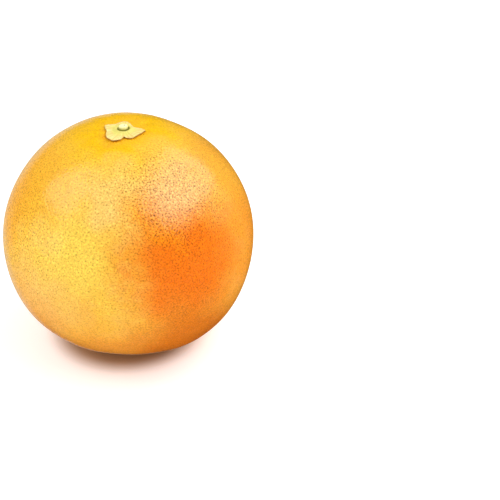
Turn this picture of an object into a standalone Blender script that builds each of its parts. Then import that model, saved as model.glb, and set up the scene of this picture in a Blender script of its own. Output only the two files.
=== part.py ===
"""A whole grapefruit standing on its blossom end.

Three pieces: the fruit in its peel, the five-lobed calyx lying in the hollow at the stem end, and the
stub of the cut stem standing in the calyx's cup. Metres, +Z up. The origin is the middle of the small
flat spot that the fruit rests on, and +X is to the right of the side that faces the viewer at -Y.
"""

import math

import bmesh
import bpy
from mathutils import Vector

# The fruit's body. Its middle is the centre of the widest ring.
EQUATOR_RADIUS = 0.0550
CROWN_HEIGHT = 0.0535
BASE_HEIGHT = 0.0513
BASE_FULLNESS = 2.1
BASE_FLATTENING = 0.0014
BASE_BLEND = 0.0008
SEGMENT_COUNT = 12
SEGMENT_SWELL = 0.00012
FRUIT_SIDES = 84
FRUIT_RINGS = 46
POLE_CROWDING = 0.30

# Soft swells and flats of the body: polar angle from the stem, azimuth, width, all in degrees, and height.
SWELLS = (
    (140, -39, 27, 0.0015),
    (148, -92, 20, -0.0010),
    (38, 46, 18, -0.0007),
    (108, 205, 28, 0.0003),
    (78, 150, 30, -0.0003),
    (112, 115, 26, 0.0005),
    (70, -100, 24, -0.0002),
)

# The hollow round the stem, and the creases that run out of it.
HOLLOW_DEPTH = 0.0025
HOLLOW_RADIUS = 0.0105
CREASE_COUNT = 11
CREASE_DEPTH = 0.00034
CREASE_START = 0.0070
CREASE_MIDDLE = 0.0115
CREASE_SPREAD = 0.0060

# The calyx: a dry disc of five sepals, with a raised collar round a shallow cup. A tip has its azimuth,
# reach and bluntness, and the notch after it has its azimuth, reach and sharpness.
LIFT_OFF_PEEL = 0.0003
SEPAL_TIPS = (
    (346, 0.0095, 0.10),
    (85, 0.0073, 0.7),
    (152, 0.0087, 0.3),
    (245, 0.0110, 0.8),
    (291, 0.0088, 0.9),
)
SEPAL_NOTCHES = (
    (30, 0.0050, 0.0),
    (120, 0.0064, 0.2),
    (186, 0.0072, 0.1),
    (271, 0.0074, 0.9),
    (320, 0.0083, 0.2),
)
SEPAL_EDGE = 0.00062
SEPAL_MIDDLE = 0.00095
TIP_CURL = 0.0004
COLLAR_RADIUS = 0.0032
COLLAR_WIDTH = 0.0008
COLLAR_HEIGHT = 0.0007
CUP_RADIUS = 0.0026
CUP_FLOOR = 0.0007
RIB_HEIGHT = 0.00010
CALYX_SIDES = 96
CALYX_RINGS = 9

# The stub of the stem: a short ribbed nub, cut a little askew, with its pith showing.
STUB_RADIUS = 0.00195
STUB_FLARE = 0.00010
STUB_HEIGHT = 0.0018
STUB_SKEW = 0.08
STUB_EDGE = 0.0005
STUB_RIBS = 9
STUB_RIB_DEPTH = 0.00008
PITH_RADIUS = 0.00042
PITH_DEPTH = 0.00035
STUB_SIDES = 36

FRUIT_MIDDLE = BASE_HEIGHT - BASE_FLATTENING


def bell(distance, width):
    """1 at no distance, falling smoothly to nothing."""
    return math.exp(-((distance / width) ** 2))


def direction(polar, azimuth):
    """The unit vector at this polar angle from the stem, in radians."""
    return Vector(
        (math.sin(polar) * math.cos(azimuth), math.sin(polar) * math.sin(azimuth), math.cos(polar))
    )


def body_radius(polar):
    """The body's radius without its unevenness: round above, fuller at the lower flanks."""
    sine, cosine = math.sin(polar), math.cos(polar)
    if cosine >= 0:
        fullness, height = 2.0, CROWN_HEIGHT
    else:
        fullness, height = BASE_FULLNESS, BASE_HEIGHT
    across = (sine / EQUATOR_RADIUS) ** fullness
    along = (abs(cosine) / height) ** fullness
    return (across + along) ** (-1 / fullness)


def swell_height(polar, azimuth):
    """The soft unevenness of a grown fruit, and the faint lobes over its segments."""
    here = direction(polar, azimuth)
    height = SEGMENT_SWELL * math.cos(SEGMENT_COUNT * azimuth) * math.sin(polar) ** 2
    for swell_polar, swell_azimuth, width, rise in SWELLS:
        there = direction(math.radians(swell_polar), math.radians(swell_azimuth))
        height += rise * bell(here.angle(there), math.radians(width))
    return height


def stem_hollow(polar, azimuth):
    """The depth of the hollow round the stem, with its creases, in which the calyx lies."""
    reach = polar * EQUATOR_RADIUS
    depth = HOLLOW_DEPTH * bell(reach, HOLLOW_RADIUS)
    if reach > CREASE_START:
        uneven = 0.22 * math.sin(2 * azimuth + 0.6) + 0.12 * math.sin(5 * azimuth + 2.0)
        crease = (0.5 + 0.5 * math.cos(CREASE_COUNT * (azimuth + uneven / 3))) ** 2
        fade_in = min(1.0, (reach - CREASE_START) / (CREASE_MIDDLE - CREASE_START))
        depth += CREASE_DEPTH * crease * fade_in * bell(reach - CREASE_MIDDLE, CREASE_SPREAD)
    return depth


def rest_level(height):
    """Flattens the blossom end: level below the table, easing into the body just above it."""
    if height >= BASE_BLEND:
        return height
    if height <= -BASE_BLEND:
        return 0.0
    return (height + BASE_BLEND) ** 2 / (4 * BASE_BLEND)


def peel_point(polar, azimuth):
    """The point of the peel in this direction from the fruit's middle."""
    radius = body_radius(polar) + swell_height(polar, azimuth) - stem_hollow(polar, azimuth)
    point = radius * direction(polar, azimuth)
    point.z = rest_level(point.z + FRUIT_MIDDLE)
    return point


def plain_material(name, colour, roughness):
    """A Principled surface with one colour."""
    material = bpy.data.materials.new(name)
    material.use_nodes = True
    shader = material.node_tree.nodes["Principled BSDF"]
    shader.inputs["Base Color"].default_value = (*colour, 1.0)
    shader.inputs["Roughness"].default_value = roughness
    shader.inputs["Metallic"].default_value = 0.0
    return material


def finish_object(name, mesh, material):
    """Turns a bmesh into a smooth-shaded object with its material."""
    bmesh.ops.recalc_face_normals(mesh, faces=mesh.faces)
    data = bpy.data.meshes.new(name)
    mesh.to_mesh(data)
    mesh.free()
    data.shade_smooth()
    data.set_sharp_from_angle(angle=math.radians(50))
    data.materials.append(material)
    item = bpy.data.objects.new(name, data)
    bpy.context.scene.collection.objects.link(item)
    return item


def ring_of(mesh, points):
    """A closed ring of vertices."""
    return [mesh.verts.new(point) for point in points]


def join_rings(mesh, first, second):
    """A band of four-sided faces between two rings of as many vertices."""
    count = len(first)
    for i in range(count):
        after = (i + 1) % count
        mesh.faces.new((first[i], first[after], second[after], second[i]))


def close_ring(mesh, ring, point):
    """Closes a ring with a fan round one point."""
    middle = mesh.verts.new(point)
    for i, vertex in enumerate(ring):
        mesh.faces.new((vertex, ring[(i + 1) % len(ring)], middle))


def make_fruit():
    """The fruit in its peel, from a globe whose rings are drawn together at both ends."""
    mesh = bmesh.new()
    bmesh.ops.create_uvsphere(mesh, u_segments=FRUIT_SIDES, v_segments=FRUIT_RINGS, radius=1.0)
    for vertex in mesh.verts:
        even = math.acos(max(-1.0, min(1.0, vertex.co.z)))
        polar = even - POLE_CROWDING * math.sin(2 * even) / 2
        vertex.co = peel_point(polar, math.atan2(vertex.co.y, vertex.co.x))
    return finish_object("fruit", mesh, plain_material("peel", (0.94, 0.50, 0.075), 0.42))


def sepal_reach(azimuth):
    """How far the calyx reaches in this direction: pointed or blunt sepals with notches between."""
    degrees = math.degrees(azimuth) % 360
    for i, (tip, reach, bluntness) in enumerate(SEPAL_TIPS):
        for notch, depth, sharpness in (SEPAL_NOTCHES[i], SEPAL_NOTCHES[i - 1]):
            span = (notch - tip + 180) % 360 - 180
            offset = (degrees - tip + 180) % 360 - 180
            share = offset / span
            if 0 <= share <= 1:
                pointed = math.sin(share * math.pi / 2)
                soft = (1 - math.cos(share * math.pi)) / 2
                sharp = 1 - math.cos(share * math.pi / 2)
                blunt = (1 - sharpness) * soft + sharpness * sharp
                return reach + (depth - reach) * ((1 - bluntness) * pointed + bluntness * blunt)
    return SEPAL_NOTCHES[-1][1]


def sepal_ribs(azimuth):
    """Fine ribs that run out along the sepals."""
    return math.cos(23 * azimuth + 1.3 * math.sin(3 * azimuth))


def above_calyx_bed(reach, azimuth, lift):
    """The point this high over the peel, this far from the stem's axis."""
    point = peel_point(reach / (CROWN_HEIGHT - HOLLOW_DEPTH), azimuth)
    point.z += lift
    return point


def calyx_thickness(reach, azimuth):
    """The calyx's thickness between its collar and its edge."""
    edge = sepal_reach(azimuth)
    share = min(1.0, max(0.0, (reach - COLLAR_RADIUS) / (edge - COLLAR_RADIUS)))
    body = SEPAL_MIDDLE + (SEPAL_EDGE - SEPAL_MIDDLE) * share
    collar = COLLAR_HEIGHT * bell(reach - COLLAR_RADIUS, COLLAR_WIDTH)
    ribs = RIB_HEIGHT * sepal_ribs(azimuth) * math.sin(math.pi * share)
    return body + collar + ribs


def tip_lift(reach):
    """The dry tips curl up a little off the peel."""
    start = min(depth for _, depth, _ in SEPAL_NOTCHES)
    longest = max(length for _, length, _ in SEPAL_TIPS)
    share = max(0.0, (reach - start) / (longest - start))
    return TIP_CURL * share**2


def make_calyx():
    """The calyx: an underside that follows the peel, a rim, a ribbed top, and the cup inside the collar."""
    mesh = bmesh.new()
    azimuths = [2 * math.pi * i / CALYX_SIDES for i in range(CALYX_SIDES)]

    def ring(share, top):
        """One ring of the top or the underside, this share of the way from the cup's rim to the edge."""
        points = []
        for azimuth in azimuths:
            reach = CUP_RADIUS + (sepal_reach(azimuth) - CUP_RADIUS) * share
            lift = LIFT_OFF_PEEL + tip_lift(reach)
            if top:
                lift += calyx_thickness(reach, azimuth)
            points.append(above_calyx_bed(reach, azimuth, lift))
        return ring_of(mesh, points)

    shares = [(i / CALYX_RINGS) ** 1.25 for i in range(CALYX_RINGS + 1)]
    under = [ring(share, top=False) for share in shares[::3]]
    over = [ring(share, top=True) for share in shares]
    for rings in (under, over):
        for inner, outer in zip(rings, rings[1:]):
            join_rings(mesh, inner, outer)
    join_rings(mesh, under[-1], over[-1])
    close_ring(mesh, under[0], above_calyx_bed(0.0, 0.0, LIFT_OFF_PEEL))

    cup_lift = LIFT_OFF_PEEL + CUP_FLOOR
    floor = ring_of(mesh, [above_calyx_bed(CUP_RADIUS * 0.94, azimuth, cup_lift) for azimuth in azimuths])
    join_rings(mesh, over[0], floor)
    close_ring(mesh, floor, above_calyx_bed(0.0, 0.0, cup_lift))
    return finish_object("calyx", mesh, plain_material("dry_sepal", (0.90, 0.74, 0.30), 0.62))


def make_stem_stub():
    """The cut stem: ribbed bark, a rounded edge, a face cut askew, and a pith that has shrunk back."""
    mesh = bmesh.new()
    foot = above_calyx_bed(0.0, 0.0, 2 * LIFT_OFF_PEEL + CUP_FLOOR)

    def ring(radius, height, skewed):
        """One ring of the stub. Above the ribs it follows the askew cut."""
        points = []
        for i in range(STUB_SIDES):
            azimuth = 2 * math.pi * i / STUB_SIDES
            ribbed = radius + STUB_RIB_DEPTH * math.cos(STUB_RIBS * azimuth) * radius / STUB_RADIUS
            x, y = ribbed * math.cos(azimuth), ribbed * math.sin(azimuth)
            slope = STUB_SKEW * (0.8 * x - 0.6 * y) if skewed else 0.0
            points.append(foot + Vector((x, y, height + slope)))
        return ring_of(mesh, points)

    wall_top = STUB_HEIGHT - STUB_EDGE
    rings = [
        ring(STUB_RADIUS + STUB_FLARE, 0.0, False),
        ring(STUB_RADIUS, wall_top * 0.45, False),
        ring(STUB_RADIUS, wall_top, True),
        ring(STUB_RADIUS - STUB_EDGE * 0.3, wall_top + STUB_EDGE * 0.7, True),
        ring(STUB_RADIUS - STUB_EDGE, STUB_HEIGHT, True),
        ring(PITH_RADIUS * 2.2, STUB_HEIGHT + STUB_EDGE * 0.2, True),
        ring(PITH_RADIUS, STUB_HEIGHT, True),
        ring(PITH_RADIUS * 0.7, STUB_HEIGHT - PITH_DEPTH, True),
    ]
    for lower, upper in zip(rings, rings[1:]):
        join_rings(mesh, lower, upper)
    close_ring(mesh, rings[0], foot)
    close_ring(mesh, rings[-1], foot + Vector((0.0, 0.0, STUB_HEIGHT - PITH_DEPTH)))
    return finish_object("stem_stub", mesh, plain_material("cut_stem", (0.90, 0.84, 0.50), 0.60))


def clear_scene():
    """Empties the scene that the script starts in."""
    for item in list(bpy.data.objects):
        bpy.data.objects.remove(item)


clear_scene()
make_fruit()
make_calyx()
make_stem_stub()
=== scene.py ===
import math

import bmesh
import bpy
import numpy as np
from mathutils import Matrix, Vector, noise
from mathutils.bvhtree import BVHTree
from mathutils.geometry import delaunay_2d_cdt


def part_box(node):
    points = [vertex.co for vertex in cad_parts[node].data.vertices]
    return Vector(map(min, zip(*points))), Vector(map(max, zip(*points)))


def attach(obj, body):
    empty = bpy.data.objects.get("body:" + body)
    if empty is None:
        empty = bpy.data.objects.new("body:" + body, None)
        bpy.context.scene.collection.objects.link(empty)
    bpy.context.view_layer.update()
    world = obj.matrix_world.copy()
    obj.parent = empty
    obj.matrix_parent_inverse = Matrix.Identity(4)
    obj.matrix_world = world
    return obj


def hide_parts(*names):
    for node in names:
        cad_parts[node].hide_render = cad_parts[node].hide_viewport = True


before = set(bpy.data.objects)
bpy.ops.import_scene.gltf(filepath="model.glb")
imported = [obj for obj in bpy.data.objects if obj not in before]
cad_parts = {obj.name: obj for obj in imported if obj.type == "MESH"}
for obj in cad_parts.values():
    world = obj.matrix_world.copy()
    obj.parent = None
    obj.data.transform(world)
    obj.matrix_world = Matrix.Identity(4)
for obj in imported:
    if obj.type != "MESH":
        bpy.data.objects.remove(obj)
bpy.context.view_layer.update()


# The fruit in its peel. It grew as one piece: a globe, a little fuller at its lower flanks, with a hollow
# round the stem and a flat spot under the blossom end. Its waxy skin is dimpled all over by oil glands,
# each of which shows as a darker speck at the bottom of a shallow pit.

MM = 0.001
SKIN_LEVELS = 3
GLAND_SPACING = 1.20 * MM
GLANDS_PER_SQUARE_METRE = 4e6
GLAND_RADIUS = 0.58 * MM
GLAND_SIZES = (0.75, 1.12)
GLAND_CLEARANCE = 0.43
GLAND_PIT_DEPTH = 0.24
GLAND_SIDES = 5
GLAND_SEED = 11
TONE_SEED = 5
SPIN_SEED = 7
SCAR_RADIUS = 2.6 * MM
SCAR_OUTER_RING = 0.94
SCAR_RINGS = 5
SCAR_SIDES = 6
SCAR_DEPTH = 0.35 * MM

FRUIT_LOW, FRUIT_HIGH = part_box("fruit")
FRUIT_RADIUS = (FRUIT_HIGH.x - FRUIT_LOW.x) / 2
FRUIT_MIDDLE_HEIGHT = 49.9 * MM
FRUIT_MIDDLE = Vector((0, 0, FRUIT_MIDDLE_HEIGHT))
SAME_CORNER = 0.001 * MM
FLAT_ENOUGH = 0.6
SQUARE_ENOUGH = 1.2

PEEL_YELLOW = (0.95, 0.530, 0.055)
PEEL_LEMON = (0.95, 0.610, 0.080)
PEEL_GOLD = (0.88, 0.49, 0.002)
PEEL_HONEY = (0.95, 0.47, 0.025)
PEEL_PEACH = (0.93, 0.500, 0.140)
PEEL_APRICOT = (0.84, 0.37, 0.025)
PEEL_TANGERINE = (0.92, 0.320, 0.001)
PEEL_BLUSH = (0.86, 0.168, 0.001)
PEEL_AMBER_PAINTED_SHADE = (0.80, 0.30, 0.030)
PEEL_PAINTED_SHADE = (0.64, 0.150, 0.002)
PEEL_ROSE_AND_HIGHLIGHT = (0.90, 0.420, 0.120)
PEEL_CREAM = (0.94, 0.570, 0.170)
SPECK_SHADE = (0.60, 0.44, 0.05)
SCAR_BROWN = (0.23, 0.105, 0.035)

# Each zone of colour: its polar angle from the stem and its azimuth in degrees, the radii in millimetres
# between which it fades, its colour and its strength.
PEEL_ZONES = (
    (70, 240, 5, 27, PEEL_LEMON, 0.9),
    (44, 261, 3, 21, PEEL_CREAM, 0.65),
    (42, 212, 4, 24, PEEL_HONEY, 0.5),
    (63, 213, 2, 18, PEEL_HONEY, 0.5),
    (52, 186, 8, 34, PEEL_HONEY, 0.9),
    (100, 222, 4, 30, PEEL_PEACH, 0.7),
    # Darker amber over the lower half: partly the peel's own amber, partly painted shade where the fruit
    # sits on the floor.
    (180, 0, 46, 84, PEEL_AMBER_PAINTED_SHADE, 1.0),
    (50, 352, 10, 38, PEEL_APRICOT, 0.9),
    (84, 15, 12, 46, PEEL_APRICOT, 0.8),
    (96, 120, 10, 44, PEEL_HONEY, 0.9),
    (60, 85, 6, 30, PEEL_LEMON, 0.7),
    (49, 281, 2, 17, PEEL_TANGERINE, 0.8),
    (75, 297, 12, 41, PEEL_BLUSH, 1.0),
    (60, 289, 3, 11, PEEL_TANGERINE, 0.3),
    (74, 273, 2, 10, PEEL_BLUSH, 0.14),
    (82, 140, 4, 26, PEEL_BLUSH, 0.35),
    (84, 334, 6, 36, PEEL_BLUSH, 0.5),
    (66, 192, 4, 24, PEEL_BLUSH, 0.17),
    (46, 208, 4, 28, PEEL_APRICOT, 0.30),
    # Dark orange low on the near right: painted shade.
    (118, 299, 8, 36, PEEL_PAINTED_SHADE, 0.9),
    # Pale rose where the right softbox's reflection falls: partly the peel's own pale patch, partly a
    # painted highlight.
    (40, 303, 6, 24, PEEL_ROSE_AND_HIGHLIGHT, 0.80),
    (0, 0, 13, 36, PEEL_GOLD, 1.0),
    (19, 316, 2, 12, PEEL_PEACH, 0.28),
    (25, 268, 2, 9, PEEL_CREAM, 0.32),
    (32, 317, 4, 17, PEEL_APRICOT, 0.3),
    (48, 335, 3, 14, PEEL_APRICOT, 0.25),
    (0, 0, 9, 15, PEEL_HONEY, 0.5),
    (10, 204, 0.5, 4, PEEL_BLUSH, 0.45),
    (12, 262, 1, 6, PEEL_APRICOT, 0.5),
)


def merged_copy(node):
    """A copy of a CAD node's mesh with its corners joined and its triangles paired into quads."""
    mesh = bmesh.new()
    mesh.from_mesh(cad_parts[node].data)
    bmesh.ops.remove_doubles(mesh, verts=mesh.verts, dist=SAME_CORNER)
    bmesh.ops.join_triangles(
        mesh, faces=mesh.faces, angle_face_threshold=FLAT_ENOUGH, angle_shape_threshold=SQUARE_ENOUGH
    )
    copy = bpy.data.meshes.new(node + "_copy")
    mesh.to_mesh(copy)
    mesh.free()
    return copy


def new_piece(name, mesh):
    """An object at the origin for a mesh that is already in place."""
    piece = bpy.data.objects.new(name, mesh)
    bpy.context.scene.collection.objects.link(piece)
    return piece


class Tree:
    """A Geometry Nodes tree that is written one node at a time."""

    def __init__(self, name, **inputs):
        self.group = bpy.data.node_groups.new(name, "GeometryNodeTree")
        self.inputs = inputs
        kinds = {int: "NodeSocketInt", float: "NodeSocketFloat", type(None): "NodeSocketGeometry"}
        for label, value in {"Geometry": None, **inputs}.items():
            self.group.interface.new_socket(label, in_out="INPUT", socket_type=kinds[type(value)])
        self.group.interface.new_socket("Geometry", in_out="OUTPUT", socket_type="NodeSocketGeometry")
        self.given = self.group.nodes.new("NodeGroupInput").outputs

    def node(self, kind, settings=None, values=None, output=0):
        """Adds a node, its settings first and then its sockets, and returns one of its outputs."""
        node = self.group.nodes.new(kind)
        for name, setting in (settings or {}).items():
            setattr(node, name, setting)
        for name, value in (values or {}).items():
            if isinstance(value, bpy.types.NodeSocket):
                self.group.links.new(value, node.inputs[name])
            else:
                node.inputs[name].default_value = value
        return node.outputs[output]

    def maths(self, operation, *values):
        """One step of arithmetic on fields."""
        return self.node("ShaderNodeMath", {"operation": operation}, dict(enumerate(values)))

    def vector(self, operation, *values, output=0):
        """One step of vector arithmetic on fields."""
        return self.node("ShaderNodeVectorMath", {"operation": operation}, dict(enumerate(values)), output)

    def random(self, low, high, seed):
        """A random number for each element."""
        return self.node("FunctionNodeRandomValue", None, {2: low, 3: high, "Seed": seed}, 1)

    def keep(self, geometry, label, value, kind="FLOAT"):
        """Stores a value on a geometry's points under a plain name."""
        values = {"Geometry": geometry, "Name": label, "Value": value}
        return self.node("GeometryNodeStoreNamedAttribute", {"data_type": kind}, values)

    def grown_on(self, mesh, geometry, material):
        """Ends the tree with real geometry in its material, and gives the plain mesh that it makes."""
        real = self.node("GeometryNodeRealizeInstances", None, {"Geometry": geometry})
        dressed = self.node("GeometryNodeSetMaterial", None, {"Geometry": real, "Material": material})
        self.group.links.new(dressed, self.group.nodes.new("NodeGroupOutput").inputs[0])
        holder = new_piece(self.group.name, mesh)
        modifier = holder.modifiers.new(self.group.name, "NODES")
        modifier.node_group = self.group
        for socket in self.group.interface.items_tree:
            if socket.in_out == "INPUT" and socket.name in self.inputs:
                modifier[socket.identifier] = self.inputs[socket.name]
        shaped = holder.evaluated_get(bpy.context.evaluated_depsgraph_get())
        result = bpy.data.meshes.new_from_object(shaped)
        bpy.data.objects.remove(holder)
        return result


def gland_pits(material):
    """Scatters the oil glands over the skin: each is a sunk middle and a ring round it, of its own size."""
    tree = Tree(
        "gland_pits",
        Levels=SKIN_LEVELS,
        Spacing=GLAND_SPACING,
        Radius=GLAND_RADIUS,
        Clearance=GLAND_CLEARANCE,
        Depth=GLAND_PIT_DEPTH,
        Sides=GLAND_SIDES,
        Seed=GLAND_SEED,
    )
    given = tree.given
    skin = tree.node(
        "GeometryNodeSubdivisionSurface", None, {"Mesh": given["Geometry"], "Level": given["Levels"]}
    )
    glands = tree.node(
        "GeometryNodeDistributePointsOnFaces",
        {"distribute_method": "POISSON"},
        {
            "Mesh": skin,
            "Distance Min": given["Spacing"],
            "Density Max": GLANDS_PER_SQUARE_METRE,
            "Seed": given["Seed"],
        },
    )
    facing = glands.node.outputs["Rotation"]
    place = tree.node("GeometryNodeInputPosition")
    off_axis = tree.vector("LENGTH", tree.vector("MULTIPLY", place, (1.0, 1.0, 0.0)), output=1)
    height = tree.node("ShaderNodeSeparateXYZ", None, {0: place}, 2)
    on_scar = tree.maths(
        "MULTIPLY",
        tree.maths("LESS_THAN", off_axis, SCAR_RADIUS),
        tree.maths("LESS_THAN", height, FRUIT_MIDDLE.z),
    )
    glands = tree.node("GeometryNodeDeleteGeometry", None, {"Geometry": glands, "Selection": on_scar})

    nearest = tree.node("GeometryNodeIndexOfNearest")
    neighbour = tree.node(
        "GeometryNodeSampleIndex",
        {"data_type": "FLOAT_VECTOR"},
        {"Geometry": glands, "Value": place, "Index": nearest},
    )
    apart = tree.vector("DISTANCE", place, neighbour, output=1)
    room = tree.maths("MULTIPLY", apart, given["Clearance"])
    size = tree.maths("MULTIPLY", given["Radius"], tree.random(*GLAND_SIZES, given["Seed"]))
    toned = tree.keep(glands, "tone", tree.random(0.0, 1.0, TONE_SEED))

    pit = tree.node(
        "GeometryNodeMeshCircle",
        {"fill_type": "TRIANGLE_FAN"},
        {"Vertices": given["Sides"], "Radius": 1.0},
    )
    inside = tree.maths("SUBTRACT", 1.0, tree.vector("LENGTH", place, output=1))
    split = tree.node("ShaderNodeSeparateXYZ", None, {0: place}).node.outputs
    pit_place = tree.node(
        "ShaderNodeCombineXYZ", None, {"X": split["X"], "Y": split["Y"], "Z": inside}
    )
    pit = tree.keep(pit, "pit_place", pit_place, "FLOAT_VECTOR")
    sunk = tree.maths("MULTIPLY", inside, tree.maths("MULTIPLY", given["Depth"], -1.0))
    pit = tree.node(
        "GeometryNodeSetPosition",
        None,
        {"Geometry": pit, "Offset": tree.node("ShaderNodeCombineXYZ", None, {"Z": sunk})},
    )
    spin = tree.node("ShaderNodeCombineXYZ", None, {"Z": tree.random(0.0, 2 * math.pi, SPIN_SEED)})
    turned = tree.node(
        "FunctionNodeRotateRotation",
        {"rotation_space": "LOCAL"},
        {"Rotation": facing, "Rotate By": tree.node("FunctionNodeEulerToRotation", None, {0: spin})},
    )
    pits = tree.node(
        "GeometryNodeInstanceOnPoints",
        None,
        {"Points": toned, "Instance": pit, "Rotation": turned, "Scale": tree.maths("MINIMUM", size, room)},
    )
    return tree.grown_on(merged_copy("fruit"), pits, material)


def values_of(mesh, label, width):
    """An attribute of a mesh's points as an array."""
    found = np.empty(len(mesh.vertices) * width, np.float32)
    mesh.attributes[label].data.foreach_get("vector" if width == 3 else "value", found)
    return found.reshape(-1, width).astype(float)


def net_round(points, middle):
    """Joins points that lie all round a middle into one closed net of triangles.

    The last point is the lowest one. Seen from it, the others lie on a plane, where they are joined, and
    the rim of that plane is closed with the last point.
    """
    rays = points - middle
    rays /= np.linalg.norm(rays, axis=1)[:, None]
    seen = rays[:-1, :2] / (1 + rays[:-1, 2:])
    found = delaunay_2d_cdt([Vector(p) for p in seen], [], [], 0, 1e-12, True)
    number = np.array([ids[0] for ids in found[3]])
    triangles = number[np.array(found[2])]
    edges = np.concatenate([triangles[:, pair] for pair in ((0, 1), (1, 2), (2, 0))])
    known = {tuple(edge) for edge in edges.tolist()}
    rim = [(b, a, len(points) - 1) for a, b in known if (b, a) not in known]
    return triangles.tolist() + rim


DISC_MIDDLES = (0.25, 0.75)
DISC_WIDE = 0.235
DISC_HIGH = 0.47


def two_discs(mesh, middle):
    """A UV map of the upper and the lower half, each as a disc that keeps areas."""
    places = np.empty(len(mesh.vertices) * 3, np.float32)
    mesh.vertices.foreach_get("co", places)
    rays = places.reshape(-1, 3) - np.array(middle)
    rays /= np.linalg.norm(rays, axis=1)[:, None]
    corner = np.empty(len(mesh.loops), np.int32)
    mesh.loops.foreach_get("vertex_index", corner)
    ray = rays[corner]
    upper = np.repeat(ray[:, 2].reshape(-1, 3).mean(1) > 0, 3)
    height = np.where(upper, ray[:, 2], -ray[:, 2])
    flat = ray[:, :2] / np.maximum(np.linalg.norm(ray[:, :2], axis=1), 1e-9)[:, None]
    reach = np.sqrt(np.maximum(0.0, 1 - height))
    across = np.where(upper, *DISC_MIDDLES) + DISC_WIDE * flat[:, 0] * reach
    along = 0.5 + DISC_HIGH * flat[:, 1] * reach
    layer = mesh.uv_layers.new(name="OFBake")
    layer.data.foreach_set("uv", np.stack([across, along], 1).astype(np.float32).ravel())


class Wire:
    """A node's output. Arithmetic on wires adds the Math nodes for it."""

    def __init__(self, finish, socket):
        self.finish = finish
        self.socket = socket

    def maths(self, operation, first, second):
        """One step of arithmetic."""
        return self.finish.node("ShaderNodeMath", {"operation": operation}, {0: first, 1: second})

    def __add__(self, other):
        return self.maths("ADD", self, other)

    def __sub__(self, other):
        return self.maths("SUBTRACT", self, other)

    def __rsub__(self, other):
        return self.maths("SUBTRACT", other, self)

    def __mul__(self, other):
        return self.maths("MULTIPLY", self, other)

    def __pow__(self, other):
        return self.maths("POWER", self, other)

    __radd__ = __add__
    __rmul__ = __mul__


class Finish:
    """A material in the making: one Principled surface and the nodes that vary it."""

    def __init__(self, name, **constants):
        self.material = bpy.data.materials.new(name)
        self.material.use_nodes = True
        self.tree = self.material.node_tree
        self.surface = self.tree.nodes["Principled BSDF"]
        for socket, value in constants.items():
            self.feed(self.surface.inputs[socket.replace("_", " ")], value)
        self.place = self.node("ShaderNodeTexCoord", output="Object")

    def node(self, kind, settings=None, values=None, output=0):
        """Adds a node, its settings first and then its sockets, and returns one of its outputs."""
        node = self.tree.nodes.new(kind)
        for name, setting in (settings or {}).items():
            setattr(node, name, setting)
        for name, value in (values or {}).items():
            self.feed(node.inputs[name], value)
        return Wire(self, node.outputs[output])

    def feed(self, socket, value):
        """Links a wire to a socket, or sets the socket to a number, vector or colour."""
        if isinstance(value, Wire):
            self.tree.links.new(value.socket, socket)
        elif socket.type == "RGBA":
            socket.default_value = (*value, 1.0)
        else:
            socket.default_value = value

    def mix(self, share, first, second):
        """A colour between two colours."""
        settings = {"data_type": "RGBA", "clamp_factor": True}
        return self.node("ShaderNodeMix", settings, {0: share, 6: first, 7: second}, output=2)

    def step(self, value, low, high):
        """0 below low, 1 above high, easing between them; the other way round where low is the larger."""
        if low > high:
            return 1 - self.step(value, high, low)
        settings = {"interpolation_type": "SMOOTHSTEP"}
        values = {"Value": value, "From Min": low, "From Max": high}
        return self.node("ShaderNodeMapRange", settings, values)

    def noise(self, size, detail=2.0, output=0):
        """Noise about 0.5, with spots of this size."""
        values = {"Vector": self.place, "Scale": 1 / size, "Detail": detail}
        return self.node("ShaderNodeTexNoise", None, values, output)

    def vector(self, operation, first, second, output=0):
        """One step of vector arithmetic."""
        values = {0: first, 1: second}
        return self.node("ShaderNodeVectorMath", {"operation": operation}, values, output)

    def parts(self, vector):
        """The three parts of a vector."""
        split = self.node("ShaderNodeSeparateXYZ", None, {0: vector}).socket.node
        return [Wire(self, part) for part in split.outputs]

    def value_of(self, label, output="Fac"):
        """A value that the mesh carries under this name."""
        return self.node("ShaderNodeAttribute", {"attribute_name": label}, output=output)

    def relief(self, height):
        """Bumps from a height in millimetres."""
        return self.node("ShaderNodeBump", None, {"Strength": 1.0, "Distance": MM, "Height": height})

    def wear(self, **inputs):
        """Feeds the surface and gives the material."""
        for socket, value in inputs.items():
            self.feed(self.surface.inputs[socket.replace("_", " ")], value)
        return self.material


MOTTLE_SIZE = 9 * MM
MOTTLE_RANGE = (0.40, 0.66)
MOTTLE_SHARE = 0.3
ZONE_WANDER_SIZE = 15 * MM
ZONE_WANDER = 22 * MM
PEEL_BRIGHTNESS = 1.04
PEBBLE_SIZE = 0.70 * MM
PEBBLE_CONTRAST = 2.25
PEBBLE_RELIEF = 0.08
PIT_FADE = (1.0, 0.10)
PIT_PAINTED_SHADE = 0.20
PIT_RELIEF = 0.12
SPECK_FADE = (0.72, 0.28)
SPECK_STRENGTH = 0.43
SPECK_TONES = (-1.5, 0.8)
COAT = 0.9
COAT_LOST_IN_PIT = 0.8
SCAR_FRAY_SIZE = 1.6 * MM
SCAR_FRAY = 2.4 * MM
SCAR_FADE = (1.3 * SCAR_RADIUS, 0.8 * SCAR_RADIUS)
SCAR_STRENGTH = 0.85

# How strongly pebbles and specks show, and the zones that add to that or take a share of it away, each
# with its place and radii as above and its strength.
SPECKS_ALL_OVER = 0.60
# The first bolder zone lies where the right softbox's highlight falls: there the light and dark of pebbles
# and pits is stronger, a painted highlight and shade.
SPECKS_BOLDER = ((46, 298, 8, 32, 0.64), (75, 203, 8, 38, 0.32))
SPECKS_FAINTER = ((0, 0, 12, 32, 0.5), (180, 0, 50, 92, 0.4))


def on_skin(polar, azimuth):
    """About where the skin lies in this direction from the fruit's middle, in degrees."""
    polar, azimuth = math.radians(polar), math.radians(azimuth)
    level = math.sin(polar)
    ray = Vector((level * math.cos(azimuth), level * math.sin(azimuth), math.cos(polar)))
    return FRUIT_MIDDLE + FRUIT_RADIUS * ray


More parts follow.
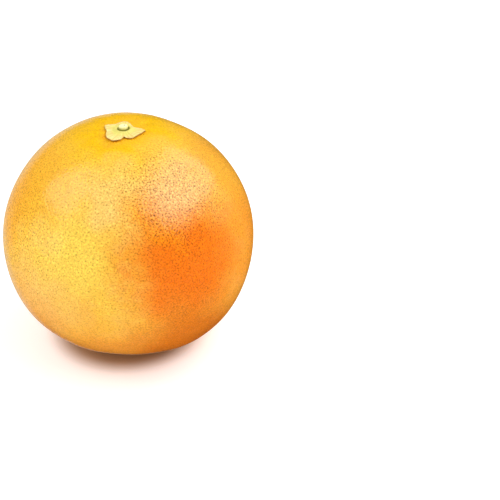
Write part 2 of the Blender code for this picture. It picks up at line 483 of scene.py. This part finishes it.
def peel_finish():
    """Ripe peel: yellow with a golden crown, an orange blush on one cheek, and a speck in each gland;
    painted shade in the pits, low down and on the near right, and a painted highlight where the right
    softbox reflects.
    """
    peel = Finish(
        "grapefruit_peel", IOR=1.45, Specular_IOR_Level=0.05, Coat_Roughness=0.16, Coat_IOR=1.5
    )
    wander = peel.vector("SUBTRACT", peel.noise(ZONE_WANDER_SIZE, 4.0, output=1), (0.5,) * 3)
    wander = peel.vector("MULTIPLY", wander, (ZONE_WANDER,) * 3)
    place = peel.vector("ADD", peel.place, wander)

    def zone(polar, azimuth, inner, outer):
        """A soft round patch of the skin with a wandering edge."""
        apart = peel.vector("DISTANCE", place, tuple(on_skin(polar, azimuth)), output=1)
        return peel.step(apart, outer * MM, inner * MM)

    mottle = peel.step(peel.noise(MOTTLE_SIZE, 3.0), *MOTTLE_RANGE)
    colour = peel.mix(mottle * MOTTLE_SHARE, PEEL_YELLOW, PEEL_PEACH)
    for polar, azimuth, inner, outer, hue, strength in PEEL_ZONES:
        colour = peel.mix(zone(polar, azimuth, inner, outer) * strength, colour, hue)

    pit_x, pit_y, inside = peel.parts(peel.value_of("pit_place", "Vector"))
    from_middle = (pit_x * pit_x + pit_y * pit_y) ** 0.5
    inside = peel.step(inside, 0.0, 0.02)
    tone = peel.value_of("tone")
    bold = SPECKS_ALL_OVER
    for polar, azimuth, inner, outer, strength in SPECKS_BOLDER:
        bold = bold + zone(polar, azimuth, inner, outer) * strength
    for polar, azimuth, inner, outer, strength in SPECKS_FAINTER:
        bold = bold * (1 - zone(polar, azimuth, inner, outer) * strength)
    bowl = peel.step(from_middle, *PIT_FADE) * inside
    speck = peel.step(from_middle, *SPECK_FADE) * inside * peel.step(tone, *SPECK_TONES)
    pebble = peel.noise(PEBBLE_SIZE, 1.5)
    # The whole bowl of each pit is darkened: painted shade in the pit, apart from the gland's own darker
    # speck.
    light = PEEL_BRIGHTNESS + ((pebble - 0.5) * PEBBLE_CONTRAST - bowl * PIT_PAINTED_SHADE) * bold
    colour = peel.node("ShaderNodeVectorMath", {"operation": "SCALE"}, {0: colour, "Scale": light})
    darker = peel.vector("MULTIPLY", colour, SPECK_SHADE)
    colour = peel.mix(speck * bold * SPECK_STRENGTH, colour, darker)
    off_scar = peel.vector("DISTANCE", peel.place, (0.0, 0.0, 0.0), output=1)
    off_scar = off_scar + (peel.noise(SCAR_FRAY_SIZE) - 0.5) * SCAR_FRAY
    scar = peel.step(off_scar, *SCAR_FADE) * SCAR_STRENGTH
    colour = peel.mix(scar, colour, SCAR_BROWN)
    return peel.wear(
        Base_Color=colour,
        Roughness=0.5,
        Coat_Weight=(1 - bowl * COAT_LOST_IN_PIT) * COAT,
        Normal=peel.relief(pebble * PEBBLE_RELIEF - bowl * PIT_RELIEF),
    )


peel_material = peel_finish()
pits = gland_pits(peel_material)
pit_places = np.empty(len(pits.vertices) * 3, np.float32)
pits.vertices.foreach_get("co", pit_places)
pit_places = pit_places.reshape(-1, 3).astype(float)

scar_places = []
for ring in range(SCAR_RINGS, 0, -1):
    radius = SCAR_RADIUS * SCAR_OUTER_RING * ring / SCAR_RINGS
    rise = SCAR_DEPTH * (0.5 + 0.5 * math.cos(math.pi * ring / SCAR_RINGS))
    for i in range(SCAR_SIDES * ring):
        turn = 2 * math.pi * (i + ring / 2) / (SCAR_SIDES * ring)
        scar_places.append((radius * math.cos(turn), radius * math.sin(turn), rise))
scar_places.append((0.0, 0.0, SCAR_DEPTH))
scar_marks = np.tile((1.0, 0.0, 0.0), (len(scar_places), 1))

skin_places = np.concatenate([pit_places, np.array(scar_places)])
skin_places[:, 2] = np.maximum(skin_places[:, 2], 0.0)
pit_marks = np.concatenate([values_of(pits, "pit_place", 3), scar_marks])
pit_tones = np.concatenate([values_of(pits, "tone", 1)[:, 0], np.zeros(len(scar_places))])
skin = bpy.data.meshes.new("grapefruit_peel")
skin.from_pydata(skin_places.tolist(), [], net_round(skin_places, np.array(FRUIT_MIDDLE)))
skin.attributes.new("pit_place", "FLOAT_VECTOR", "POINT").data.foreach_set(
    "vector", pit_marks.astype(np.float32).ravel()
)
skin.attributes.new("tone", "FLOAT", "POINT").data.foreach_set(
    "value", pit_tones.astype(np.float32)
)
two_discs(skin, FRUIT_MIDDLE)
skin.shade_smooth()
skin.materials.append(peel_material)
peel_piece = new_piece("grapefruit_peel", skin)
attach(peel_piece, "root")
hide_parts("fruit")


# The calyx. Five dry sepals have grown together to one papery, finely ribbed sheet that lies in the hollow.
# It swells to a collar round the stem, its ragged edge is thin and brown and curls a little off the peel.

CALYX_COLUMNS = 96
CALYX_FINER = 4
CALYX_LIFT = 0.3 * MM
CUP_HEIGHT = 0.7 * MM
CUP_FLOOR_RADIUS = 2.34 * MM
CUP_WALL_RADIUS = 2.60 * MM
COLLAR_RADIUS = 3.15 * MM
COLLAR_HEIGHT = 0.55 * MM
COLLAR_WIDTH = 0.75 * MM
CUP_RINGS = tuple(r * MM for r in (1.2, 2.0, 2.34, 2.43, 2.52, 2.60, 2.78, 2.96, 3.15, 3.4, 3.8))
SHEET_START = 4.2 * MM
SHEET_MIDDLE = 0.85 * MM
SHEET_EDGE = 0.26 * MM
SHEET_THINNING = 0.6
SHEET_RINGS = 20
SHEET_LEAST = 0.5 * MM
SHEET_CURL = 0.35 * MM
SHEET_WAVE = 0.22 * MM
SHEET_WAVE_LENGTH = 3.2 * MM
UNDER_START = 2.5 * MM
UNDER_RINGS = 6
EDGE_INSET = 0.10 * MM
EDGE_RAGGED = 0.16 * MM
EDGE_TEETH = 9
EDGE_FRAY = 31
EDGE_FRAY_SHARE = 0.6
SPLIT_AZIMUTH = math.radians(270)
SPLIT_WIDTH = math.radians(7)
SPLIT_DEPTH = 1.4 * MM
SEPAL_RIBS = 43.0
SEPAL_RIB_HEIGHT = 0.05 * MM
SEPAL_RIB_START = COLLAR_RADIUS
SEPAL_RIB_END = COLLAR_RADIUS + 1.5 * MM
SEPAL_GRAIN_HEIGHT = 0.03 * MM
SEPAL_CREAM = (0.92, 0.74, 0.26)
SEPAL_STRAW = (0.80, 0.58, 0.16)
SEPAL_GREEN = (0.74, 0.70, 0.13)
SEPAL_BROWN = (0.40, 0.150, 0.010)
GROOVE_OLIVE = (0.33, 0.29, 0.03)


def calyx_rim():
    """How far the calyx reaches in each of its columns, from the CAD node's outermost points."""
    points = [v.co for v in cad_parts["calyx"].data.vertices]
    reach = np.zeros(CALYX_COLUMNS)
    for point in points:
        turn = math.atan2(point.y, point.x) / (2 * math.pi) * CALYX_COLUMNS
        column = round(turn) % CALYX_COLUMNS
        reach[column] = max(reach[column], math.hypot(point.x, point.y))
    return reach


def collar(radius):
    """How much the collar adds to the sheet's thickness at this radius."""
    return COLLAR_HEIGHT * math.exp(-(((radius - COLLAR_RADIUS) / COLLAR_WIDTH) ** 2))


def sheet_thickness(radius, out):
    """The thickness there: the cup's floor, its wall, or the sheet with its collar, thinner outwards."""
    if radius <= CUP_FLOOR_RADIUS:
        return CUP_HEIGHT
    if radius <= CUP_WALL_RADIUS:
        up = (radius - CUP_FLOOR_RADIUS) / (CUP_WALL_RADIUS - CUP_FLOOR_RADIUS)
        return CUP_HEIGHT + (SHEET_MIDDLE + collar(CUP_WALL_RADIUS) - CUP_HEIGHT) * up
    return SHEET_MIDDLE + (SHEET_EDGE - SHEET_MIDDLE) * out**SHEET_THINNING + collar(radius)


def calyx_sheet():
    """The sheet as rings of points: out from the middle of the cup to the edge, and back underneath."""
    around = CALYX_COLUMNS * CALYX_FINER
    columns = np.arange(CALYX_COLUMNS + 1)
    rim = calyx_rim()
    rim = np.interp(np.arange(around) / CALYX_FINER, columns, np.append(rim, rim[0]))
    shortest, longest = rim.min(), rim.max()
    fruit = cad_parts["fruit"].data
    peel_shape = BVHTree.FromPolygons(
        [v.co for v in fruit.vertices], [f.vertices for f in fruit.polygons]
    )
    above = FRUIT_HIGH.z + 10 * MM

    def bed(x, y):
        """How high the peel lies under this spot."""
        return peel_shape.ray_cast(Vector((x, y, above)), Vector((0, 0, -1)))[0].z

    def rise(radius, x, y):
        """How far the sheet stands off the peel there: more towards its edge, in soft waves."""
        out = max(0.0, (radius - SHEET_START) / (longest - SHEET_START))
        wave = noise.noise(Vector((x, y, 0)) / SHEET_WAVE_LENGTH) * min(1.0, 2 * out)
        curl = max(0.0, (radius - shortest) / (longest - shortest)) ** 2
        return CALYX_LIFT + SHEET_CURL * curl + SHEET_WAVE * (0.5 + 0.5 * wave) * min(1.0, 2 * out)

    rows = [("top", radius, None) for radius in CUP_RINGS]
    rows += [("top", None, step / SHEET_RINGS) for step in range(SHEET_RINGS + 1)]
    rows += [("under", None, step / UNDER_RINGS) for step in range(UNDER_RINGS, -1, -1)]
    rows.append(("under", UNDER_START, None))

    points = []
    outward = []
    for side, fixed, share in rows:
        for i in range(around):
            turn = 2 * math.pi * i / around
            edge = rim[i] - EDGE_INSET
            way = Vector((math.cos(turn), math.sin(turn), 0))
            teeth = noise.noise(way * EDGE_TEETH)
            fray = noise.noise(way * EDGE_FRAY)
            edge += EDGE_RAGGED * teeth + EDGE_FRAY_SHARE * EDGE_RAGGED * fray
            apart = abs(turn - SPLIT_AZIMUTH)
            edge -= SPLIT_DEPTH * max(0.0, 1 - apart / SPLIT_WIDTH)
            edge = max(edge, SHEET_START + SHEET_LEAST)
            if share is None:
                radius = fixed
            else:
                radius = SHEET_START + (edge - SHEET_START) * share
            x, y = radius * way.x, radius * way.y
            low = bed(x, y) + rise(radius, x, y)
            if side == "under":
                points.append((x, y, low))
                outward.append(share or 0.0)
                continue
            out = max(0.0, (radius - SHEET_START) / (edge - SHEET_START))
            points.append((x, y, low + sheet_thickness(radius, out)))
            outward.append(out if share is not None else 0.0)
    top_pole = len(points)
    points.append((0, 0, bed(0, 0) + CALYX_LIFT + CUP_HEIGHT))
    points.append((0, 0, bed(0, 0) + CALYX_LIFT))
    outward += [0.0, 0.0]

    faces = []
    for i in range(around):
        j = (i + 1) % around
        faces.append((top_pole, i, j))
        for row in range(len(rows) - 1):
            a, b = row * around, (row + 1) * around
            faces.append((a + i, b + i, b + j, a + j))
        last = (len(rows) - 1) * around
        faces.append((top_pole + 1, last + j, last + i))
    mesh = bpy.data.meshes.new("calyx_sheet")
    mesh.from_pydata(points, [], faces)
    mesh.attributes.new("outward", "FLOAT", "POINT").data.foreach_set("value", outward)
    mesh.shade_smooth()
    return mesh


FIBRE_WANDER = 14.0
FIBRE_WANDER_SCALE = 4.0
FIBRE_GRAIN_SIZE = 0.5 * MM


def dry_fibres(name, mesh, material, levels, ribs, rib_height, start, end, grain_height):
    """Raises radial ribs on a dry plant part, growing from a start to an end radius, and a fine grain."""
    tree = Tree(
        name,
        Levels=levels,
        Ribs=ribs,
        Height=rib_height,
        Start=start,
        End=end,
        Grain=grain_height,
    )
    given = tree.given
    fine = tree.node(
        "GeometryNodeSubdivisionSurface", None, {"Mesh": given["Geometry"], "Level": given["Levels"]}
    )
    place = tree.node("GeometryNodeInputPosition")
    split = tree.node("ShaderNodeSeparateXYZ", None, {0: place}).node.outputs
    turn = tree.maths("ARCTAN2", split["Y"], split["X"])
    flat = tree.vector("MULTIPLY", place, (1.0, 1.0, 0.0))
    reach = tree.vector("LENGTH", flat, output=1)
    way = tree.vector("NORMALIZE", flat)
    uneven = tree.node(
        "ShaderNodeTexNoise", None, {"Vector": way, "Scale": FIBRE_WANDER_SCALE, "Detail": 3.0}
    )
    evenly = tree.maths("MULTIPLY", turn, given["Ribs"])
    waves = tree.maths("ADD", evenly, tree.maths("MULTIPLY", uneven, FIBRE_WANDER))
    shown = tree.node(
        "ShaderNodeMapRange",
        None,
        {"Value": reach, "From Min": given["Start"], "From Max": given["End"]},
    )
    height = tree.maths("MULTIPLY", given["Height"], shown)
    rib = tree.maths("MULTIPLY", tree.maths("COSINE", waves), height)
    speckle = tree.node(
        "ShaderNodeTexNoise", None, {"Vector": place, "Scale": 1 / FIBRE_GRAIN_SIZE, "Detail": 2.0}
    )
    grain = tree.maths("MULTIPLY", tree.maths("SUBTRACT", speckle, 0.5), given["Grain"])
    offset = tree.node(
        "ShaderNodeVectorMath",
        {"operation": "SCALE"},
        {0: tree.node("GeometryNodeInputNormal"), "Scale": tree.maths("ADD", rib, grain)},
    )
    raised = tree.node("GeometryNodeSetPosition", None, {"Geometry": fine, "Offset": offset})
    return tree.grown_on(mesh, raised, material)


STREAKS_AROUND = 9.0
STREAKS_OUTWARD = 60.0
STREAK_RANGE = (0.42, 0.58)
STREAK_RELIEF = 0.24
SEPAL_GRAIN_SIZE = 0.3 * MM
SEPAL_GRAIN_RELIEF = 0.03
BLOTCH_SIZE = 2.5 * MM
BLOTCH_SHARE = 0.9
GREEN_FADE = (0.55, 0.0)
GREEN_SHARE = 0.7
GROOVE_FADE = (2.75 * MM, 2.45 * MM)
BROWN_FRAY = 0.2
BROWN_FADE = (0.93, 1.0)
BROWN_SHARE = 0.85


def sepal_finish():
    """Dry sepals: straw and cream fibres, green near the stem, brown along the edge."""
    sepal = Finish("dry_sepal", IOR=1.4)
    flat = sepal.vector("MULTIPLY", sepal.place, (1.0, 1.0, 0.0))
    way = sepal.vector("NORMALIZE", flat, (0.0, 0.0, 0.0))
    around = sepal.vector("MULTIPLY", way, (STREAKS_AROUND, STREAKS_AROUND, 0.0))
    along = sepal.vector("ADD", around, sepal.vector("MULTIPLY", sepal.place, (STREAKS_OUTWARD,) * 3))
    streak = sepal.node("ShaderNodeTexNoise", None, {"Vector": along, "Scale": 1.0, "Detail": 4.0})
    outward = sepal.value_of("outward")
    reach = sepal.vector("DISTANCE", flat, (0.0, 0.0, 0.0), output=1)
    blotch = sepal.noise(BLOTCH_SIZE, 3.0)
    colour = sepal.mix(sepal.step(streak, *STREAK_RANGE), SEPAL_STRAW, SEPAL_CREAM)
    green = sepal.step(outward + (blotch - 0.5) * BLOTCH_SHARE, *GREEN_FADE)
    colour = sepal.mix(green * GREEN_SHARE, colour, SEPAL_GREEN)
    colour = sepal.mix(sepal.step(reach, *GROOVE_FADE), colour, GROOVE_OLIVE)
    brown = sepal.step(outward + (streak - 0.5) * BROWN_FRAY, *BROWN_FADE)
    colour = sepal.mix(brown * BROWN_SHARE, colour, SEPAL_BROWN)
    grain = sepal.noise(SEPAL_GRAIN_SIZE)
    return sepal.wear(
        Base_Color=colour,
        Roughness=0.55 + streak * 0.2,
        Normal=sepal.relief(streak * STREAK_RELIEF + grain * SEPAL_GRAIN_RELIEF),
    )


calyx_piece = new_piece(
    "grapefruit_calyx",
    dry_fibres(
        "sepal_ribs",
        calyx_sheet(),
        sepal_finish(),
        levels=0,
        ribs=SEPAL_RIBS,
        rib_height=SEPAL_RIB_HEIGHT,
        start=SEPAL_RIB_START,
        end=SEPAL_RIB_END,
        grain_height=SEPAL_GRAIN_HEIGHT,
    ),
)
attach(calyx_piece, "root")
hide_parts("calyx")


# The stem stub. It is the end of the woody stem, cut off just above the calyx: a ribbed green bark round
# pale wood, with a little pith a bit off its middle. It stands in the calyx's cup.

STUB_LOW, STUB_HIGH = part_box("stem_stub")
STUB_LEVELS = 2
STUB_RIBS = 13.0
STUB_RIB_HEIGHT = 0.05 * MM
STUB_GRAIN_HEIGHT = 0.06 * MM
STUB_BARK_RADIUS = 1.7 * MM
STUB_WOOD_RADIUS = STUB_BARK_RADIUS - 0.15 * MM
STUB_SMOOTH_RADIUS = STUB_BARK_RADIUS - 0.3 * MM
PITH_PLACE = (0.55 * MM, -0.05 * MM, STUB_HIGH.z)
PITH_FADE = (0.55 * MM, 0.30 * MM)
PITH_STRENGTH = 0.85
BARK_GREEN_TOP = STUB_LOW.z + 0.3 * MM
BARK_CREAM_BOTTOM = STUB_HIGH.z - 0.5 * MM
BARK_WANDER = 1.0 * MM
RAYS_AROUND = 7.0
RAY_RANGE = (0.40, 0.62)
RAY_RELIEF = 0.10
WOOD_GRAIN_SIZE = 0.25 * MM
WOOD_GRAIN_RELIEF = 0.04
WOOD_CREAM = (0.98, 0.95, 0.55)
WOOD_STRAW = (0.95, 0.84, 0.38)
BARK_GREEN = (0.42, 0.38, 0.05)
BARK_CREAM = (0.93, 0.86, 0.38)
PITH_GREY = (0.28, 0.25, 0.10)


def stem_finish():
    """Cut stem: pale wood with rays, a dull pith, and thin green bark that is paler towards the cut."""
    stem = Finish("cut_stem", IOR=1.4)
    flat = stem.vector("MULTIPLY", stem.place, (1.0, 1.0, 0.0))
    reach = stem.vector("DISTANCE", flat, (0.0, 0.0, 0.0), output=1)
    way = stem.vector("NORMALIZE", flat, (0.0, 0.0, 0.0))
    ray = stem.node("ShaderNodeTexNoise", None, {"Vector": way, "Scale": RAYS_AROUND, "Detail": 3.0})
    height = stem.parts(stem.place)[2]
    wood = stem.mix(stem.step(ray, *RAY_RANGE), WOOD_STRAW, WOOD_CREAM)
    up = stem.step(height + (ray - 0.5) * BARK_WANDER, BARK_GREEN_TOP, BARK_CREAM_BOTTOM)
    bark = stem.mix(up, BARK_GREEN, BARK_CREAM)
    colour = stem.mix(stem.step(reach, STUB_WOOD_RADIUS, STUB_BARK_RADIUS), wood, bark)
    off_pith = stem.vector("DISTANCE", stem.place, PITH_PLACE, output=1)
    pith = stem.step(off_pith, *PITH_FADE) * PITH_STRENGTH
    colour = stem.mix(pith, colour, PITH_GREY)
    grain = stem.noise(WOOD_GRAIN_SIZE)
    return stem.wear(
        Base_Color=colour,
        Roughness=0.6 + ray * 0.15,
        Normal=stem.relief(ray * RAY_RELIEF + grain * WOOD_GRAIN_RELIEF),
    )


stub_piece = new_piece(
    "grapefruit_stem_stub",
    dry_fibres(
        "stem_ribs",
        merged_copy("stem_stub"),
        stem_finish(),
        levels=STUB_LEVELS,
        ribs=STUB_RIBS,
        rib_height=STUB_RIB_HEIGHT,
        start=STUB_SMOOTH_RADIUS,
        end=STUB_BARK_RADIUS,
        grain_height=STUB_GRAIN_HEIGHT,
    ),
)
stub_piece.data.shade_smooth()
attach(stub_piece, "root")
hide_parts("stem_stub")


# The studio. A white sweep that glows as painted light, with a painted shadow round the fruit: near where
# the fruit stands its glow fades out and its colour darkens to a warm brown. A large softbox stands at the
# right, smaller ones at the left and low down, and white all round. The floor is kept out of the gloss, so
# two lights that act on gloss alone stand for the sweep that the edge of the skin mirrors.

FLOOR_HALF = 3.0
FLOOR_CORNERS = ((-1, -1), (1, -1), (1, 1), (-1, 1))
FLOOR_LEVEL = -0.02 * MM
# The floor's glow is painted light. Near the fruit the glow fades out and the floor's colour turns warm
# brown, a painted shadow.
FLOOR_PAINTED_GLOW = 0.34
FLOOR_WHITE = (0.90, 0.90, 0.90)
FLOOR_PAINTED_SHADOW = (0.54, 0.38, 0.21)
PAINTED_SHADOW_MIDDLE = (-3 * MM, 1 * MM, 0.0)
PAINTED_SHADOW_INNER = 24 * MM
PAINTED_SHADOW_OUTER = 40 * MM
PAINTED_GLOW_INNER = 27 * MM
PAINTED_GLOW_OUTER = 39 * MM
WORLD_STRENGTH = 0.78

# Each softbox: its name, the azimuth and elevation at which it stands in degrees, its distance, its width
# and height in metres, its roll in degrees, its radiance, and whether it acts on gloss alone.
SOFTBOXES = (
    ("softbox_right", 359, 48, 0.6, 0.95, 0.42, -12, 2.0, False),
    ("softbox_right_gloss", 359, 48, 0.6, 0.95, 0.42, -12, 3.0, True),
    ("softbox_left", 178, 45, 0.8, 0.5, 0.5, 0, 2.0, False),
    ("softbox_low_left", 190, 8, 0.8, 0.5, 0.3, 0, 1.0, False),
    ("softbox_low_right", 12, 12, 0.8, 0.5, 0.3, 0, 0.5, False),
    ("sweep_gloss_near", 106, -24, 0.8, 0.55, 0.70, 0, 0.30, True),
    ("sweep_gloss_wide", 112, -24, 0.8, 0.85, 0.80, 0, 0.24, True),
)

floor_finish = Finish("studio_floor", Roughness=0.9, Emission_Strength=1.0)
# The painted shadow and the fading of the painted glow both spread from a point near where the fruit meets
# the floor.
off_contact = floor_finish.vector("DISTANCE", floor_finish.place, PAINTED_SHADOW_MIDDLE, output=1)
painted_glow = floor_finish.step(off_contact, PAINTED_GLOW_INNER, PAINTED_GLOW_OUTER)
painted_shadow = floor_finish.step(off_contact, PAINTED_SHADOW_INNER, PAINTED_SHADOW_OUTER)
floor_mesh = bpy.data.meshes.new("studio_floor")
floor_mesh.from_pydata(
    [(x * FLOOR_HALF, y * FLOOR_HALF, FLOOR_LEVEL) for x, y in FLOOR_CORNERS], [], [(0, 1, 2, 3)]
)
floor_mesh.materials.append(
    floor_finish.wear(
        Base_Color=floor_finish.mix(painted_shadow, FLOOR_PAINTED_SHADOW, FLOOR_WHITE),
        Emission_Color=floor_finish.mix(painted_glow, (0.0, 0.0, 0.0), (FLOOR_PAINTED_GLOW,) * 3),
    )
)
floor = new_piece("studio_floor", floor_mesh)
floor.visible_glossy = False

world = bpy.data.worlds.new("studio")
world.use_nodes = True
background = world.node_tree.nodes["Background"]
background.inputs["Color"].default_value = (1.0, 1.0, 1.0, 1.0)
background.inputs["Strength"].default_value = WORLD_STRENGTH
world.cycles_visibility.glossy = False
bpy.context.scene.world = world
bpy.context.scene.view_settings.view_transform = "Standard"


def softbox(name, azimuth, elevation, distance, wide, high, roll, radiance, gloss_only):
    """A rectangular softbox that faces the fruit, at this azimuth from +X and this elevation."""
    light = bpy.data.lights.new(name, "AREA")
    light.shape = "RECTANGLE"
    light.size = wide
    light.size_y = high
    light.energy = radiance * math.pi * wide * high
    holder = bpy.data.objects.new(name, light)
    a, e = math.radians(azimuth), math.radians(elevation)
    out = Vector((math.cos(a) * math.cos(e), math.sin(a) * math.cos(e), math.sin(e)))
    turn = out.to_track_quat("Z", "Y")
    holder.rotation_euler = turn.to_euler()
    holder.rotation_euler.rotate_axis("Z", math.radians(roll))
    holder.location = FRUIT_MIDDLE + distance * out
    holder.visible_camera = False
    holder.visible_diffuse = not gloss_only
    bpy.context.scene.collection.objects.link(holder)


for row in SOFTBOXES:
    softbox(*row)


# The camera, a 100 mm lens that looks down on the fruit's near side. It is turned a little past the fruit,
# so that the fruit's middle comes to its place in the left half of the picture.

SENSOR = 36.0
LENS = 100.0
PICTURE = 500
VIEW_ELEVATION = math.radians(32.0)
VIEW_DISTANCE = 0.6158
MIDDLE_PIXEL = (129.2, 234.2)

focal = LENS / SENSOR * PICTURE
across = (MIDDLE_PIXEL[0] - PICTURE / 2) / focal
down = (MIDDLE_PIXEL[1] - PICTURE / 2) / focal
slant = math.sqrt(across**2 + down**2 + 1)
yaw = math.asin(-across / slant / math.cos(VIEW_ELEVATION))
pitch = math.atan2(math.sin(VIEW_ELEVATION), math.cos(VIEW_ELEVATION) * math.cos(yaw))
pitch -= math.atan(down)
back = Vector((0, -math.cos(VIEW_ELEVATION), math.sin(VIEW_ELEVATION)))
camera_data = bpy.data.cameras.new("camera")
camera_data.lens = LENS
camera_data.sensor_width = SENSOR
camera = bpy.data.objects.new("camera", camera_data)
camera.location = FRUIT_MIDDLE + VIEW_DISTANCE * back
camera.rotation_euler = (math.pi / 2 - pitch, 0, -yaw)
bpy.context.scene.collection.objects.link(camera)
bpy.context.scene.camera = camera
